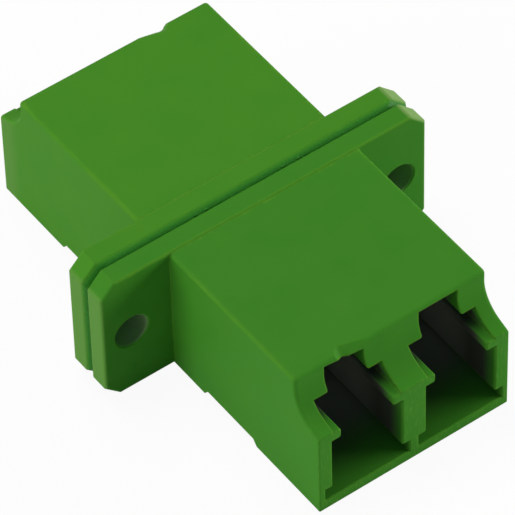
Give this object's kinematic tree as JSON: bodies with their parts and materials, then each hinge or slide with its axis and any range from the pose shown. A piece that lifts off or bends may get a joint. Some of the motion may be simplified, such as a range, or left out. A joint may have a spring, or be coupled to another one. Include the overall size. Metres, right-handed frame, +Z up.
{
  "type": "duplex fibre adapter",
  "caption": "Green moulded coupler with a screw flange round its waist and latched plug ports at both ends, joining pairs of fibre plugs end to end.",
  "frame": {"origin": "middle of the seam between the two housings, on the underside", "axes": "+X across the two ports, +Y along the fibres towards the rear, +Z up, latch slots on top"},
  "size_m": [0.0218, 0.0294, 0.009],
  "materials": {
    "green_moulding": "semi-matte moulded green plastic",
    "white_ceramic": "polished white ceramic"
  },
  "bodies": {
    "root": {"front_housing": "green_moulding", "rear_housing": "green_moulding", "left_sleeve": "white_ceramic", "right_sleeve": "white_ceramic"}
  },
  "joints": []
}
